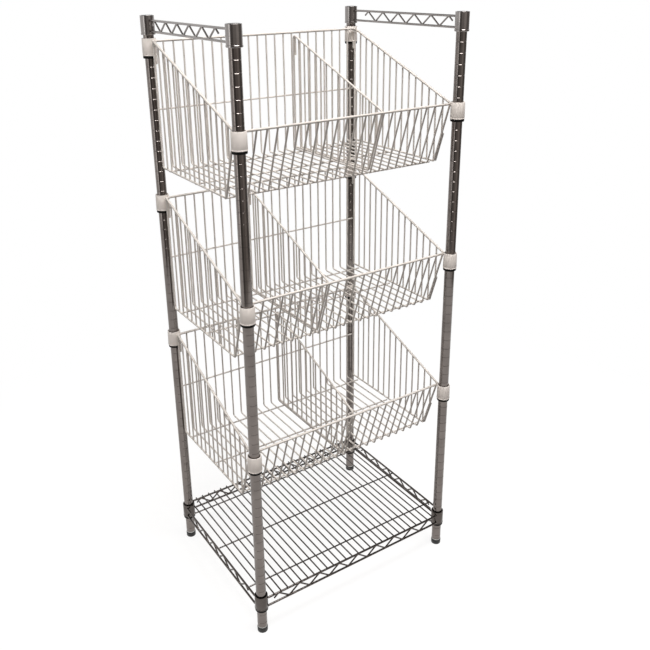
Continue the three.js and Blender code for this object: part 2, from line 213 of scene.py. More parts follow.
def swept(path, diameter, normal):
    """A round wire along a flat path: p + r (cos a n + sin a t x n), with the ends eased in.

    n is the normal of the path's plane and t the path's direction.
    """
    path = np.asarray(path, float)
    ease = diameter / 4
    first, last = unit(path[1] - path[0]), unit(path[-1] - path[-2])
    path = np.vstack([path[:1], path[:1] + ease * first, path[1:-1], path[-1:] - ease * last, path[-1:]])
    radii = np.full(len(path), diameter / 2)
    radii[[0, -1]] *= WIRE_END_SHARE
    along = np.gradient(path, axis=0)
    along[1], along[-2] = first, last
    along = unit(along)
    across = np.cross(along, normal)
    angles = np.linspace(0, 2 * math.pi, WIRE_SIDES, endpoint=False)
    ring = np.cos(angles)[:, None] * normal + np.sin(angles)[:, None] * across[:, None, :]
    points = path[:, None, :] + radii[:, None, None] * ring
    quads = grid_quads(len(path), WIRE_SIDES, False, True)[:, ::-1]
    ends = np.arange(WIRE_SIDES)
    caps = [ends[::-1], (len(path) - 1) * WIRE_SIDES + ends]
    return points.reshape(-1, 3), quads.tolist() + [cap.tolist() for cap in caps]


def bent(points, radius):
    """A line through points with each inner corner replaced by an arc of the given radius.

    About the arc's centre c = p + m r / sin h the arc is c + r (w sin u - m cos u), where m halves
    the corner, w runs across it, h is half the corner's angle and u goes from h - 90 to 90 - h.
    """
    points = np.asarray(points, float)
    corners = points[1:-1]
    before, after = unit(points[:-2] - corners), unit(points[2:] - corners)
    half = np.arccos(np.clip((before * after).sum(1), -1, 1))[:, None] / 2
    middle, across = unit(before + after), unit(after - before)
    centres = corners + middle * radius / np.sin(half)
    swing = (np.pi / 2 - half) * np.linspace(-1, 1, BEND_STEPS)
    arcs = radius * (across[:, None] * np.sin(swing)[..., None] - middle[:, None] * np.cos(swing)[..., None])
    arcs = (centres[:, None] + arcs).reshape(-1, 3)
    return np.vstack([points[:1], arcs, points[-1:]])


def straight(start, end, diameter, normal):
    return swept([start, end], diameter, normal)


def piece(name, parts, body, slot, finish, *nodes):
    """One object from several closed surfaces, standing for CAD nodes and riding on their body."""
    sizes = np.cumsum([0] + [len(points) for points, _ in parts])
    points = np.concatenate([points for points, _ in parts])
    faces = [[start + i for i in face] for start, (_, own) in zip(sizes, parts) for face in own]
    mesh = bpy.data.meshes.new(name)
    mesh.from_pydata(points, [], faces)
    mesh.polygons.foreach_set("use_smooth", np.ones(len(mesh.polygons), bool))
    mesh.set_sharp_from_angle(angle=SHARP_ANGLE)
    mesh.materials.append(finish)
    made = bpy.data.objects.new(name, mesh)
    bpy.context.scene.collection.objects.link(made)
    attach(made, body)
    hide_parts(*nodes)
    return made


# Shader node helpers


def add_node(tree, kind, **inputs):
    """A node with its plain input values; a socket given as value is linked instead."""
    made = tree.nodes.new(kind)
    for name, value in inputs.items():
        put(tree, made, name.replace("_", " "), value)
    return made


def put(tree, target, name, value):
    socket = target.inputs[name]
    if isinstance(value, bpy.types.NodeSocket):
        tree.links.new(value, socket)
    else:
        socket.default_value = value


def new_group(name, inputs, outputs):
    tree = bpy.data.node_groups.new(name, "ShaderNodeTree")
    for socket, kind, default in inputs:
        made = tree.interface.new_socket(socket, in_out="INPUT", socket_type=kind)
        if default is not None:
            made.default_value = default
    for socket, kind in outputs:
        tree.interface.new_socket(socket, in_out="OUTPUT", socket_type=kind)
    return tree, tree.nodes.new("NodeGroupInput"), tree.nodes.new("NodeGroupOutput")


def cloudy_group():
    """Slow patchy variation over a surface: a soft noise stretched between 0 and 1."""
    tree, given, out = new_group(
        "cloudy tone",
        [("Vector", "NodeSocketVector", None), ("Scale", "NodeSocketFloat", 10.0)],
        [("Mask", "NodeSocketFloat")],
    )
    noise = add_node(
        tree,
        "ShaderNodeTexNoise",
        Vector=given.outputs["Vector"],
        Scale=given.outputs["Scale"],
        Detail=4.0,
        Roughness=0.6,
    )
    spread = add_node(tree, "ShaderNodeMapRange", Value=noise.outputs["Fac"], From_Min=0.32, From_Max=0.68)
    tree.links.new(spread.outputs["Result"], out.inputs["Mask"])
    return tree


def drawn_group():
    """Fine lines along one axis, left by drawing or plating: noise on a stretched vector."""
    tree, given, out = new_group(
        "drawn lines",
        [("Vector", "NodeSocketVector", None), ("Stretch", "NodeSocketVector", (600.0, 600.0, 8.0))],
        [("Lines", "NodeSocketFloat")],
    )
    scaled = tree.nodes.new("ShaderNodeVectorMath")
    scaled.operation = "MULTIPLY"
    tree.links.new(given.outputs["Vector"], scaled.inputs[0])
    tree.links.new(given.outputs["Stretch"], scaled.inputs[1])
    noise = add_node(tree, "ShaderNodeTexNoise", Vector=scaled.outputs["Vector"], Scale=1.0, Detail=3.0)
    tree.links.new(noise.outputs["Fac"], out.inputs["Lines"])
    return tree


def speckle_group():
    """Small scattered specks, such as dust or pits: the near part of a cell pattern."""
    tree, given, out = new_group(
        "specks",
        [
            ("Vector", "NodeSocketVector", None),
            ("Scale", "NodeSocketFloat", 400.0),
            ("Size", "NodeSocketFloat", 0.16),
        ],
        [("Mask", "NodeSocketFloat")],
    )
    cells = add_node(
        tree, "ShaderNodeTexVoronoi", Vector=given.outputs["Vector"], Scale=given.outputs["Scale"]
    )
    mask = add_node(
        tree,
        "ShaderNodeMapRange",
        Value=cells.outputs["Distance"],
        From_Min=given.outputs["Size"],
        From_Max=0.02,
    )
    tree.links.new(mask.outputs["Result"], out.inputs["Mask"])
    return tree


CLOUDY = cloudy_group()
DRAWN = drawn_group()
SPECKS = speckle_group()


def use_group(tree, group, **inputs):
    made = tree.nodes.new("ShaderNodeGroup")
    made.node_tree = group
    for name, value in inputs.items():
        put(tree, made, name, value)
    return made


def new_finish(name):
    """An empty material with its Principled shader and the piece's own coordinates."""
    finish = bpy.data.materials.new(name)
    finish.use_nodes = True
    tree = finish.node_tree
    shader = next(n for n in tree.nodes if n.type == "BSDF_PRINCIPLED")
    place = tree.nodes.new("ShaderNodeTexCoord").outputs["Object"]
    return finish, tree, shader, place


def tinted(tree, mask, low, high):
    """A colour between two tones by a mask; a tone may be the socket of another colour."""
    mix = tree.nodes.new("ShaderNodeMix")
    mix.data_type = "RGBA"
    put(tree, mix, "Factor", mask)
    for name, tone in (("A", low), ("B", high)):
        put(tree, mix, name, tone if isinstance(tone, bpy.types.NodeSocket) else (*tone, 1))
    return mix.outputs["Result"]


def ranged(tree, mask, low, high):
    return add_node(tree, "ShaderNodeMapRange", Value=mask, To_Min=low, To_Max=high).outputs["Result"]


def bumped(tree, height, strength, distance):
    bump = add_node(tree, "ShaderNodeBump", Height=height, Strength=strength, Distance=distance)
    return bump.outputs["Normal"]


DIRT = (0.36, 0.31, 0.27)
DIRT_COVER = 0.35
BLACK = (0.010, 0.0095, 0.009)
DUST = (0.032, 0.030, 0.028)


def coating(name, dark, light):
    """Off-white powder coating: warm patches, a fine orange peel and darker specks of handling dirt."""
    finish, tree, shader, place = new_finish(name)
    patches = use_group(tree, CLOUDY, Vector=place, Scale=14.0).outputs["Mask"]
    dirt = use_group(tree, SPECKS, Vector=place, Scale=310.0, Size=0.11).outputs["Mask"]
    peel = add_node(tree, "ShaderNodeTexNoise", Vector=place, Scale=1400.0, Detail=2.0).outputs["Fac"]
    tone = tinted(tree, patches, dark, light)
    put(tree, shader, "Base Color", tinted(tree, ranged(tree, dirt, 0.0, DIRT_COVER), tone, DIRT))
    put(tree, shader, "Roughness", ranged(tree, patches, 0.36, 0.5))
    put(tree, shader, "Normal", bumped(tree, peel, 0.12, 0.0004))
    return finish


def plating(name, dark, light, smooth, rough, stretch, lines):
    """Bright plating over drawn steel: cloudy tone, lines along the draw and a smudged gloss."""
    finish, tree, shader, place = new_finish(name)
    clouds = use_group(tree, CLOUDY, Vector=place, Scale=22.0).outputs["Mask"]
    drawn = use_group(tree, DRAWN, Vector=place, Stretch=stretch).outputs["Lines"]
    put(tree, shader, "Base Color", tinted(tree, clouds, dark, light))
    put(tree, shader, "Metallic", 1.0)
    put(tree, shader, "Roughness", ranged(tree, drawn, smooth, rough))
    put(tree, shader, "Normal", bumped(tree, drawn, lines, 0.0003))
    return finish


def moulding(name, shine):
    """Matt black moulded plastic with a fine grain and pale dust specks."""
    finish, tree, shader, place = new_finish(name)
    grain = add_node(tree, "ShaderNodeTexNoise", Vector=place, Scale=2200.0, Detail=2.0).outputs["Fac"]
    dust = use_group(tree, SPECKS, Vector=place, Scale=520.0, Size=0.14).outputs["Mask"]
    put(tree, shader, "Base Color", tinted(tree, dust, BLACK, DUST))
    put(tree, shader, "Roughness", ranged(tree, grain, 0.42, 0.62))
    put(tree, shader, "Specular IOR Level", shine)
    put(tree, shader, "Normal", bumped(tree, grain, 0.2, 0.0003))
    return finish


POST_PLATING = plating(
    "post plating",
    dark=(0.162, 0.142, 0.132),
    light=(0.210, 0.185, 0.172),
    smooth=0.06,
    rough=0.16,
    stretch=(700.0, 700.0, 6.0),
    lines=0.02,
)
WIRE_PLATING = plating(
    "wire plating",
    dark=(0.24, 0.222, 0.213),
    light=(0.31, 0.288, 0.277),
    smooth=0.08,
    rough=0.22,
    stretch=(500.0, 500.0, 500.0),
    lines=0.015,
)
# Same plated wire as the end rails, in a much darker tone: painted shade and painted dark reflection on the
# shelf under the baskets.
SHADED_SHELF_PLATING = plating(
    "shelf plating darkened as painted shade",
    dark=(0.086, 0.075, 0.069),
    light=(0.121, 0.106, 0.098),
    smooth=0.08,
    rough=0.22,
    stretch=(500.0, 500.0, 500.0),
    lines=0.015,
)
INSERT_PLATING = plating(
    "insert plating",
    dark=(0.48, 0.48, 0.46),
    light=(0.58, 0.58, 0.56),
    smooth=0.3,
    rough=0.45,
    stretch=(300.0, 300.0, 40.0),
    lines=0.08,
)
COLLAR_COATING = coating("collar coating", dark=(0.74, 0.675, 0.62), light=(0.82, 0.752, 0.70))
# Same paint as the collars; the wires' darker tone is painted shade for their thin, shaded sides.
SHADED_WIRE_COATING = coating("wire coating darkened as painted shade", dark=(0.58, 0.53, 0.485), light=(0.67, 0.62, 0.575))
MOULDING = moulding("black moulding", shine=0.5)
SLEEVE_MOULDING = moulding("sleeve moulding", shine=0.06)


# Posts, caps, feet


def post_parts(node):
    """Tube with rolled grooves: radius R, less the groove's depth on two rings of each groove."""
    low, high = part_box(node)
    radius = radius_of(node)
    middle = centre_of(node)
    known = top_of("low_basket_collar_front_left") + GROOVE_ABOVE_RIM
    first = known - GROOVE_PITCH * math.floor((known - low.z - GROOVE_WIDTH) / GROOVE_PITCH)
    grooves = np.arange(first, high.z - GROOVE_WIDTH, GROOVE_PITCH)
    heights = grooves[:, None] + np.array([-GROOVE_WIDTH, -GROOVE_FLAT, GROOVE_FLAT, GROOVE_WIDTH]) / 2
    depths = np.broadcast_to([0, GROOVE_DEPTH, GROOVE_DEPTH, 0], heights.shape)
    outside = np.column_stack([radius - depths.ravel(), heights.ravel()])
    bore = radius - POST_WALL
    profile = np.vstack([
        [[radius - POST_EDGE, low.z], [radius, low.z + POST_EDGE]],
        outside,
        [[radius, high.z - POST_EDGE], [radius - POST_EDGE, high.z], [bore, high.z], [bore, low.z]],
    ])
    return [turned(profile, middle)]


def cap_parts(node):
    """Plug with a flange whose top edge is rounded over."""
    low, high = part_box(node)
    middle = centre_of(node)
    radius = radius_of(node)
    plug = radius - POST_WALL - COLLAR_CLEARANCE
    seat = top_of(node.replace("cap_", "")) + COLLAR_CLEARANCE
    edge = rounded(radius - CAP_EDGE, high.z - CAP_EDGE, CAP_EDGE, np.linspace(0, np.pi / 2, EDGE_STEPS))
    profile = np.vstack([[[plug, low.z], [plug, seat], [radius, seat]], edge])
    return [turned(profile, middle, closed=False)]


def foot_parts(node):
    """Moulded foot with rounded edges under a threaded stem."""
    low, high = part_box(node)
    middle = centre_of(node)
    radius = radius_of(node)
    turn = np.linspace(-np.pi / 2, np.pi / 2, FOOT_STEPS)
    edges = low.z + np.where(turn < 0, FOOT_EDGE, FOOT_HEIGHT - FOOT_EDGE)
    pad = rounded(radius - FOOT_EDGE, edges, FOOT_EDGE, turn)
    crests = np.arange(low.z + FOOT_HEIGHT, high.z - THREAD_PITCH, THREAD_PITCH)
    heights = np.column_stack([crests, crests + THREAD_PITCH / 2])
    radii = np.broadcast_to([FOOT_STEM_RADIUS, FOOT_STEM_RADIUS - THREAD_DEPTH], heights.shape)
    stem = np.column_stack([radii.ravel(), heights.ravel()])
    return [turned(np.vstack([pad, stem, [[FOOT_STEM_RADIUS, high.z]]]), middle, closed=False)]


# Collars, sleeves and sockets


def collar_ring(x, y, top, height, radius, bore):
    """Collar that widens downwards by the taper, with an eased top edge and a rolled bottom lip."""
    wide = radius + COLLAR_TAPER
    turn = np.linspace(-np.pi / 2, np.pi / 2, LIP_STEPS)
    lip = np.column_stack([
        wide - COLLAR_LIP / 2 + COLLAR_LIP * np.cos(turn),
        top - height + COLLAR_LIP_HEIGHT / 2 * (1 + np.sin(turn)),
    ])
    profile = np.vstack([
        lip,
        [[wide - COLLAR_LIP / 4, top - height + COLLAR_LIP_HEIGHT + COLLAR_LIP]],
        [[radius, top - COLLAR_EDGE * 2], [radius - COLLAR_EDGE, top], [bore + COLLAR_EDGE, top]],
        [[bore, top - COLLAR_EDGE], [bore + COLLAR_TAPER, top - height]],
    ])
    return turned(profile, (x, y))


def collar_parts(node):
    low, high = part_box(node)
    x, y, _ = centre_of(node)
    radius = radius_of(node) - COLLAR_TAPER
    return [collar_ring(x, y, high.z, high.z - low.z, radius, radius - COLLAR_WALL)]


def sleeve_parts(node):
    """Split wedge sleeve, with a rounded lip under its collar that the solid leaves out."""
    low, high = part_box(node)
    x, y, _ = centre_of(node)
    outer = radius_of(node)
    inner = outer - COLLAR_TAPER - SLEEVE_WALL
    bottom = low.z - SLEEVE_MORE
    rim = low.z + SLEEVE_DROP
    lip = outer + SLEEVE_LIP
    turn = np.linspace(-np.pi / 2, 0, EDGE_STEPS)
    foot = rounded(lip - SLEEVE_EDGE, bottom + SLEEVE_EDGE, SLEEVE_EDGE, turn)
    wall = [[lip, rim], [outer, rim], [outer - COLLAR_TAPER, high.z], [inner, high.z], [inner, bottom]]
    profile = np.vstack([foot, wall])
    return [turned(profile, (x, y), slit=SLEEVE_SLIT / inner)]


def socket_ring(x, y, low, high, radius):
    """Plated socket of an end rail: straight wall, eased top edge and a lip round the bottom."""
    wide = radius + SOCKET_LIP
    bore = radius - SOCKET_WALL
    lip_top = low + SOCKET_LIP_HEIGHT
    turn = np.linspace(0, np.pi / 2, SOCKET_STEPS)
    edge = rounded(radius - SOCKET_EDGE, high - SOCKET_EDGE, SOCKET_EDGE, turn)
    profile = np.vstack([
        [[wide - SOCKET_EDGE, low], [wide, low + SOCKET_EDGE]],
        [[wide, lip_top], [radius, lip_top + SOCKET_LIP]],
        edge,
        [[bore, high], [bore, low]],
    ])
    return turned(profile, (x, y))


# Trusses, shelf and end rails


def zigzag(reach, middle, low, high):
    """Distance and height of the zigzag's turns: tops as the reach takes them, and a tail at each end."""
    tops = math.floor(2 * reach / ZIGZAG_PERIOD)
    turns = np.arange(1 - tops, tops)
    turns = np.concatenate([[1 - tops - ZIGZAG_TAIL], turns, [tops - 1 + ZIGZAG_TAIL]])
    upper, lower = high - ZIGZAG_BITE, low + ZIGZAG_BITE
    below = np.abs((turns - tops) % 2 - 1)
    return middle + turns * ZIGZAG_PERIOD / 2, upper - (upper - lower) * below


def truss_parts(along, across, reach, offset, high, middle=0.0):
    """Two round wires and a bent zigzag wire between them, in one upright plane."""
    low = high - TRUSS_HEIGHT
    place = across * offset
    run, heights = zigzag(reach, middle, low, high)
    turns = place + run[:, None] * along + heights[:, None] * Z_AXIS
    wires = [
        straight(place - reach * along + z * Z_AXIS, place + reach * along + z * Z_AXIS, TRUSS_WIRE, across)
        for z in (low, high)
    ]
    return wires + [swept(bent(turns, ZIGZAG_BEND), ZIGZAG_WIRE, across)]


def end_rail_parts(node):
    """Truss between two sockets; the right rail is the left one turned end for end."""
    low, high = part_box(node)
    x = centre_of(node)[0]
    shift = -math.copysign(END_RAIL_SHIFT, x)
    radius = radius_of(node) - SOCKET_LIP
    half = (high.y - low.y) / 2 - radius - SOCKET_LIP
    reach = half - radius + SOCKET_WALL / 2
    parts = [socket_ring(x, y, low.z, high.z, radius) for y in (-half, half)]
    return parts + truss_parts(Y_AXIS, X_AXIS, reach, x, high.z - END_RAIL_DROP, shift)


def shelf_frame_parts(node):
    """Four collars joined by trusses along the edges."""
    low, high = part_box(node)
    posts = [centre_of(f"post_{corner}") for corner in CORNERS]
    half_x, half_y = abs(posts[0][0]), abs(posts[0][1])
    bore = radius_of("shelf_sleeve_rear_left") - COLLAR_TAPER + COLLAR_CLEARANCE
    height = high.z - low.z
    parts = [collar_ring(p[0], p[1], high.z, height, bore + COLLAR_WALL, bore) for p in posts]
    upper = high.z - SHELF_TRUSS_DROP
    for side in (-1, 1):
        parts += truss_parts(
            X_AXIS, Y_AXIS, half_x - SHELF_TRUSS_END, side * (half_y + SHELF_TRUSS_OFFSET), upper
        )
        parts += truss_parts(
            Y_AXIS, X_AXIS, half_y - SHELF_TRUSS_END, side * (half_x + SHELF_TRUSS_OFFSET), upper
        )
    return parts


def mat_parts(node):
    """Wires from front to back, shortened beside the collars, on three cross wires."""
    low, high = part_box(node)
    half_x, half_y = abs(centre_of("post_rear_left")[:2])
    collar = radius_of("low_basket_collar_rear_left") + COLLAR_CLEARANCE
    height = high.z - MAT_WIRE / 2
    cross_height = height - MAT_WIRE + WELD_SINK
    edge = half_x + SHELF_TRUSS_OFFSET - TRUSS_WIRE - MAT_WIRE
    count = math.floor(edge / MAT_PITCH)
    full, short = (high.y - low.y) / 2, half_y - collar
    parts = []
    for x in np.arange(-count, count + 1) * MAT_PITCH:
        reach = full if abs(x) < half_x - collar - MAT_WIRE / 2 else short
        parts.append(straight((x, -reach, height), (x, reach, height), MAT_WIRE, X_AXIS))
    across = (high.x - low.x) / 2
    for y in (MAT_CROSS_INSET - short, 0.0, short - MAT_CROSS_INSET):
        parts.append(straight((-across, y, cross_height), (across, y, cross_height), MAT_WIRE, Y_AXIS))
    return parts


# Baskets


class Basket:
    """Places of one basket: planes of its back, front and sides and heights of its rails."""

    def __init__(self, name):
        front_collar, rear_collar = f"{name}_basket_collar_front_left", f"{name}_basket_collar_rear_left"
        half_x, half_y = abs(centre_of(rear_collar)[:2])
        collar = radius_of(front_collar) + COLLAR_CLEARANCE
        level = top_of(front_collar)
        self.reach = half_y - collar
        self.back = self.reach - RAIL / 2
        self.side = half_x - SIDE_INSET
        self.floor = level - BASKET_DEPTH
        self.back_rail = top_of(rear_collar) - BACK_RAIL_DROP
        self.front_rail = level - FRONT_RAIL_DROP
        self.corner = FRONT_LEAN - self.back
        self.slope = (self.back_rail - self.front_rail) / (2 * self.back)
        self.lean = (self.front_rail - self.floor) / FRONT_LEAN

    def rail_at(self, y):
        """Height of the sloping side rail at a depth y."""
        return self.front_rail + self.slope * (y + self.back)


def grille_parts(basket):
    """Long wires bent round back, floor and front, two rails and four cross wires."""
    gaps = round(2 * basket.side / WIRE_PITCH)
    places = basket.side * (2 * np.arange(1, gaps) / gaps - 1)
    line = np.array([
        [0, basket.back, basket.back_rail],
        [0, basket.back, basket.floor],
        [0, basket.corner, basket.floor],
        [0, -basket.back, basket.front_rail],
    ])
    line = bent(line, WIRE_BEND)
    parts = [swept(line + x * X_AXIS, WIRE, X_AXIS) for x in places]
    end = basket.side - RAIL / 2 - COLLAR_CLEARANCE
    back = [
        [-end, basket.back, basket.back_rail - RAIL_END_TURN],
        [-end, basket.back, basket.back_rail],
        [end, basket.back, basket.back_rail],
        [end, basket.back, basket.back_rail - RAIL_END_TURN],
    ]
    parts.append(swept(bent(back, RAIL_END_BEND), RAIL, Y_AXIS))
    front = np.array([0, -basket.back, basket.front_rail])
    parts.append(straight(front - end * X_AXIS, front + end * X_AXIS, RAIL, Y_AXIS))
    rear, fore = basket.back - FLOOR_CROSS_REAR, basket.corner + FLOOR_CROSS_FRONT
    reach = basket.side - RIM_WIRE / 2
    below = basket.floor - WIRE + WELD_SINK
    crosses = [(rear, below), ((rear + fore) / 2, below), (fore, below)]
    crosses.append((basket.back + WIRE - WELD_SINK, basket.back_rail - BACK_CROSS_DROP))
    for y, z in crosses:
        parts.append(straight((-reach, y, z), (reach, y, z), WIRE, Z_AXIS))
    return parts


def panel_parts(x, rim, rail_at, rear, front, floor, lean):
    """Upright wires of a flat panel, from the sloping top down to the floor line or the lean."""
    gaps = round((rear - front) / SIDE_PITCH)
    places = front + (rear - front) * np.arange(1, gaps) / gaps
    feet = np.maximum(floor, floor + (rim - places) * lean)
    tops = rail_at(places)
    return [
        straight((x, y, foot), (x, y, top), WIRE, X_AXIS)
        for y, foot, top in zip(places, feet, tops)
        if top - foot > WIRE
    ]


def side_parts(basket, x):
    """Side panel: sloping rail, bent rim, upright wires and the rim wire's tails, in front only at right."""
    rear = basket.reach - SIDE_REAR_GAP - RIM_WIRE / 2
    fore = WIRE + RIM_WIRE / 2 - basket.reach
    bottom = basket.floor + RIM_WIRE / 2 - WIRE / 2
    low = fore + (basket.rail_at(fore) - bottom) / basket.lean
    rim = [
        [x, rear, basket.rail_at(rear)],
        [x, rear, bottom],
        [x, low, bottom],
        [x, fore, basket.rail_at(fore)],
    ]
    tail_top = np.array([x - math.copysign(RIM_WIRE, x), rear, basket.rail_at(rear) - REAR_TAIL_START])
    tail_foot = np.array([x + RIM_WIRE, low, bottom])
    leaning = unit(np.array([0, -1, basket.lean]))
    rail_end = basket.reach - basket.slope * RAIL / 2
    rail = [[x, y, basket.rail_at(y)] for y in (-rail_end, rail_end)]
    parts = [
        swept(bent(rim, WIRE_BEND), RIM_WIRE, X_AXIS),
        swept(rail, RAIL, X_AXIS),
        straight(tail_top, tail_top - REAR_TAIL_LENGTH * Z_AXIS, RIM_WIRE, X_AXIS),
    ]
    if x > 0:
        parts.append(straight(tail_foot, tail_foot + FRONT_TAIL_LENGTH * leaning, RIM_WIRE, X_AXIS))
    return parts + panel_parts(x, low, basket.rail_at, rear, fore, bottom, basket.lean)


def divider_parts(basket, x):
    """Divider: bent rim on all sides, upright wires and the rim wire's tail beside the rear edge."""
    rear = basket.back - RAIL / 2 - DIVIDER_GAP - RIM_WIRE / 2
    fore = RAIL / 2 + DIVIDER_FRONT_GAP + RIM_WIRE / 2 - basket.back
    bottom = basket.floor + WIRE / 2 + COLLAR_CLEARANCE + RIM_WIRE / 2
    low = fore + (basket.rail_at(fore) - bottom) / basket.lean
    middle = (rear + fore) / 2

    def rail_at(y):
        return basket.rail_at(y) - RIM_WIRE / 2

    rim = [
        [x, middle, rail_at(middle)],
        [x, rear, rail_at(rear)],
        [x, rear, bottom],
        [x, low, bottom],
        [x, fore, rail_at(fore)],
        [x, middle, rail_at(middle)],
    ]
    tail_top = rail_at(rear) - RIM_WIRE
    tail = [[x + RIM_WIRE, rear, tail_top], [x + RIM_WIRE, rear, tail_top - DIVIDER_TAIL_LENGTH]]
    parts = [swept(bent(rim, RAIL_END_BEND), RIM_WIRE, X_AXIS), swept(tail, RIM_WIRE, X_AXIS)]
    return parts + panel_parts(x, low, rail_at, rear, fore, bottom, basket.lean)


# Every node gets its dressed piece


def dress_posts():
    for corner in CORNERS:
        post, cap, foot = f"post_{corner}", f"post_cap_{corner}", f"foot_{corner}"
        piece(f"grooved_{post}", post_parts(post), "rack", "post_chrome", POST_PLATING, post)
        piece(f"moulded_{cap}", cap_parts(cap), "rack", "black_plastic", MOULDING, cap)
        piece(f"moulded_{foot}", foot_parts(foot), f"levelling_{foot}", "black_plastic", MOULDING, foot)
        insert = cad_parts[f"foot_insert_{corner}"]
        insert.data.materials.clear()
        insert.data.materials.append(INSERT_PLATING)
        sleeve = f"shelf_sleeve_{corner}"
        piece(f"split_{sleeve}", sleeve_parts(sleeve), "rack", "black_plastic", SLEEVE_MOULDING, sleeve)


def dress_shelf():
    shelf, mat = "shelf_frame", "shelf_mat"
    piece(f"truss_{shelf}", shelf_frame_parts(shelf), "rack", "wire_chrome", SHADED_SHELF_PLATING, shelf)
    piece(f"wire_{mat}", mat_parts(mat), "rack", "wire_chrome", SHADED_SHELF_PLATING, mat)
    for side in ("left", "right"):
        rail = f"end_rail_{side}"
        piece(f"truss_{rail}", end_rail_parts(rail), "rack", "wire_chrome", WIRE_PLATING, rail)


def dress_basket(name):
    basket = Basket(name)
    grille = f"{name}_basket_grille"
    piece(f"wire_{grille}", grille_parts(basket), "rack", "basket_coating", SHADED_WIRE_COATING, grille)
    for side, x in (("left", -basket.side), ("right", basket.side)):
        panel = f"{name}_basket_side_{side}"
        piece(f"wire_{panel}", side_parts(basket, x), "rack", "basket_coating", SHADED_WIRE_COATING, panel)
    divider = f"{name}_basket_divider"
    parts = divider_parts(basket, centre_of(divider)[0])
    piece(f"wire_{divider}", parts, f"{name}_divider", "basket_coating", SHADED_WIRE_COATING, divider)
    for corner in CORNERS:
        collar, sleeve = f"{name}_basket_collar_{corner}", f"{name}_basket_sleeve_{corner}"
        piece(f"pressed_{collar}", collar_parts(collar), "rack", "basket_coating", COLLAR_COATING, collar)
        piece(f"split_{sleeve}", sleeve_parts(sleeve), "rack", "black_plastic", SLEEVE_MOULDING, sleeve)


# Studio: white floor and backdrop, soft light from high in front, dim cards on the camera's side

FLOOR_SIZE = 30.0
FLOOR_COLOUR = (0.16, 0.155, 0.15, 1)
FLOOR_GLOW = 0.86
SHADOW_NEAR = 0.7
SHADOW_FAR = 1.6
LIGHT_AIM = (0, 0, 0.8)
ROOM_FRONT = (0.13, 0.112, 0.103)
ROOM_BACK = (0.5, 0.5, 0.5)
ROOM_TOP = (0.3, 0.29, 0.285)
ROOM_BACK_FROM, ROOM_BACK_TO = -0.1, 0.7
ROOM_TOP_FROM, ROOM_TOP_TO = 0.05, 0.8
WHITE = (1, 1, 1, 1)

# Lamps: name, place, size, watts and whether the plating mirrors the lamp
LAMPS = (
    ("top bank", (0.1, -1.1, 4.7), (3.2, 1.2), 225.0, True),
    ("key", (-0.25, -2.0, 4.4), (0.5, 0.5), 9.0, True),
    ("front fill", (-4.7, -2.9, 2.4), (4.8, 2.2), 52.0, False),
    ("side strip", (-2.6, -0.2, 1.3), (0.3, 2.2), 4.0, True),
)

# Cards that only the plating mirrors: degrees to the right of the camera from and to, and tone
CARD_RADIUS = 2.4
CARD_HEIGHT = 2.7
CARD_STEPS = 9
CARD_TINT = (1.0, 0.93, 0.88)
CARDS = ((-40, -9, 0.16), (-9, 30, 0.33), (30, 66, 0.5), (66, 124, 0.22))
CEILING_SIZE = 9.0
CEILING_HEIGHT = 4.9
CEILING_TONE = 0.2


def white_to_camera(tree):
    """1 for camera, glossy and transmission rays, which all see the white background, and 0 for others."""
    path = tree.nodes.new("ShaderNodeLightPath")
    total = path.outputs["Is Camera Ray"]
    for ray in ("Is Glossy Ray", "Is Transmission Ray"):
        either = tree.nodes.new("ShaderNodeMath")
        either.operation = "MAXIMUM"
        tree.links.new(total, either.inputs[0])
        tree.links.new(path.outputs[ray], either.inputs[1])
        total = either.outputs[0]
    return total


def shader_between(tree, share, first, second):
    """The first shader where the share is 0 and the second where it is 1."""
    mix = tree.nodes.new("ShaderNodeMixShader")
    for socket, source in zip(mix.inputs, (share, first, second)):
        tree.links.new(source, socket)
    return mix.outputs[0]


def bare_finish(name):
    """A material without nodes and its tree."""
    finish = bpy.data.materials.new(name)
    finish.use_nodes = True
    finish.node_tree.nodes.clear()
    return finish, finish.node_tree


def stage_piece(name, points, faces, finish):
    """A piece of the set, which isn't part of the rack."""
    mesh = bpy.data.meshes.new(name)
    mesh.from_pydata(points, [], faces)
    mesh.materials.append(finish)
    made = bpy.data.objects.new(name, mesh)
    bpy.context.scene.collection.objects.link(made)
    return made


def level_square(size, height):
    """Corners and face of a level square above the rack's middle."""
    half = size / 2
    return [(x * half, y * half, height) for x, y in ((-1, -1), (1, -1), (1, 1), (-1, 1))], [(0, 1, 2, 3)]


def lit_floor():
    """White floor: shadowed near the rack, and plain white further out."""
    finish, tree = bare_finish("pale floor")
    place = tree.nodes.new("ShaderNodeTexCoord").outputs["Object"]
    length = tree.nodes.new("ShaderNodeVectorMath")
    length.operation = "LENGTH"
    tree.links.new(place, length.inputs[0])
    far = add_node(
        tree, "ShaderNodeMapRange", Value=length.outputs["Value"], From_Min=SHADOW_NEAR, From_Max=SHADOW_FAR
    ).outputs["Result"]
    matt = add_node(tree, "ShaderNodeBsdfDiffuse", Color=FLOOR_COLOUR)
    glow = add_node(tree, "ShaderNodeEmission", Color=WHITE, Strength=FLOOR_GLOW)
    white = add_node(tree, "ShaderNodeEmission", Color=WHITE, Strength=1.0)
    near = tree.nodes.new("ShaderNodeAddShader")
    tree.links.new(matt.outputs[0], near.inputs[0])
    tree.links.new(glow.outputs[0], near.inputs[1])
    shown = shader_between(tree, far, near.outputs[0], white.outputs[0])
    both = shader_between(tree, white_to_camera(tree), matt.outputs[0], shown)
    add_node(tree, "ShaderNodeOutputMaterial", Surface=both)
    stage_piece("floor", *level_square(FLOOR_SIZE, 0.0), finish)


